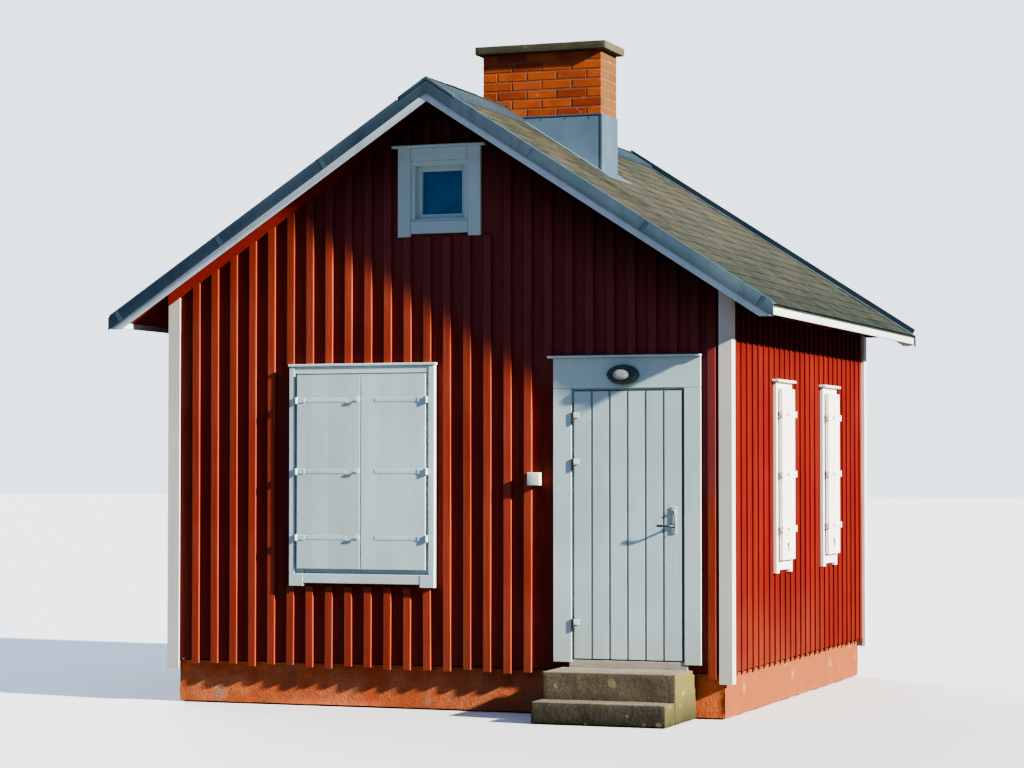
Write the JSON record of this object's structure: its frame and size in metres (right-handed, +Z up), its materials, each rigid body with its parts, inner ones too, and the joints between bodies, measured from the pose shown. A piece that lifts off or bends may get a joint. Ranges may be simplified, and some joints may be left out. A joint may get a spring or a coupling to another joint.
{
  "type": "boathouse cabin",
  "caption": "Small board-clad gabled coastal cabin with a shuttered window front, a plank door over concrete steps, slate roof and a brick chimney on the ridge.",
  "frame": {"origin": "bottom centre of the whole part's box, at ground level", "axes": "+Z up, +X to the right along the front gable, +Y to the back; the door faces -Y"},
  "size_m": [5.42, 5.516, 5.31],
  "materials": {
    "red_boards": "old linseed paint, matt",
    "bare_wood": "raw sawn timber",
    "white_trim": "oil paint, satin, weathered",
    "white_shutters": "oil paint, satin, weathered",
    "white_door": "oil paint, satin",
    "plinth": "rough painted masonry",
    "concrete": "worn cast steps",
    "slates": "weathered, lichen",
    "galvanised": "dull galvanised sheet",
    "brick": "rough fired brick",
    "cap_slab": "weathered cast slab, algae",
    "black_iron": "black paint",
    "dull_steel": "worn",
    "lamp_metal": "dark paint",
    "lamp_opal": "opal",
    "switch_plastic": "matt",
    "pane": "clear"
  },
  "bodies": {
    "house": {"foundation": "plinth", "lower_step": "concrete", "upper_step": "concrete", "floor": "bare_wood", "threshold": "bare_wood", "front_wall_left": "red_boards", "front_wall_right": "red_boards", "front_gable": "red_boards", "left_wall": "red_boards", "right_wall": "red_boards", "back_wall": "red_boards", "corner_boards": "white_trim", "rafters": "red_boards", "roof_boards_left": "red_boards", "roof_boards_right": "red_boards", "roof_covering_left": "slates", "roof_covering_right": "slates", "bargeboards": "white_trim", "verge_flashing": "galvanised", "fascias": "white_trim", "ridge_cap": "galvanised", "chimney_stack": "brick", "chimney_cap": "cap_slab", "chimney_flashing": "galvanised", "door_casing": "white_trim", "door_frame": "white_trim", "lamp_body": "lamp_metal", "lamp_glass": "lamp_opal", "switch_box": "switch_plastic", "front_casing": "white_trim", "side_casings": "white_trim", "attic_casings": "white_trim", "window_sashes": "white_trim", "window_glass": "pane", "hinge_pins": "black_iron", "left_shutters": "white_shutters"},
    "door": {"door_leaf": "white_door", "door_hinge_straps": "black_iron", "lock_plates": "dull_steel"},
    "lever": {"door_lever": "dull_steel"},
    "front_left_leaf": {"front_shutter_left": "white_shutters"},
    "front_right_leaf": {"front_shutter_right": "white_shutters"},
    "near_left_leaf": {"near_shutter_left": "white_shutters"},
    "near_right_leaf": {"near_shutter_right": "white_shutters"},
    "far_left_leaf": {"far_shutter_left": "white_shutters"},
    "far_right_leaf": {"far_shutter_right": "white_shutters"}
  },
  "joints": [
    {"name": "door_hinge", "type": "hinge", "parent": "house", "child": "door", "pos_m": [1.087, -2.044, 1.43], "axis": [0, 0, -1], "range_deg": [0, 110]},
    {"name": "lever_turn", "type": "hinge", "parent": "door", "child": "lever", "pos_m": [1.875, -2.038, 1.427], "axis": [0, -1, 0], "range_deg": [0, 40], "stiffness_Nm_per_rad": 0.9, "springref_deg": -14.32},
    {"name": "front_left_hinge", "type": "hinge", "parent": "house", "child": "front_left_leaf", "pos_m": [-1.183, -2.076, 1.827], "axis": [0, 0, -1], "range_deg": [0, 175]},
    {"name": "front_right_hinge", "type": "hinge", "parent": "house", "child": "front_right_leaf", "pos_m": [-0.087, -2.076, 1.827], "axis": [0, 0, 1], "range_deg": [0, 175]},
    {"name": "near_left_hinge", "type": "hinge", "parent": "house", "child": "near_left_leaf", "pos_m": [2.363, -0.708, 1.806], "axis": [0, 0, -1], "range_deg": [0, 175]},
    {"name": "near_right_hinge", "type": "hinge", "parent": "house", "child": "near_right_leaf", "pos_m": [2.363, -0.292, 1.806], "axis": [0, 0, 1], "range_deg": [0, 175]},
    {"name": "far_left_hinge", "type": "hinge", "parent": "house", "child": "far_left_leaf", "pos_m": [2.363, 0.838, 1.806], "axis": [0, 0, -1], "range_deg": [0, 175]},
    {"name": "far_right_hinge", "type": "hinge", "parent": "house", "child": "far_right_leaf", "pos_m": [2.363, 1.254, 1.806], "axis": [0, 0, 1], "range_deg": [0, 175]}
  ]
}
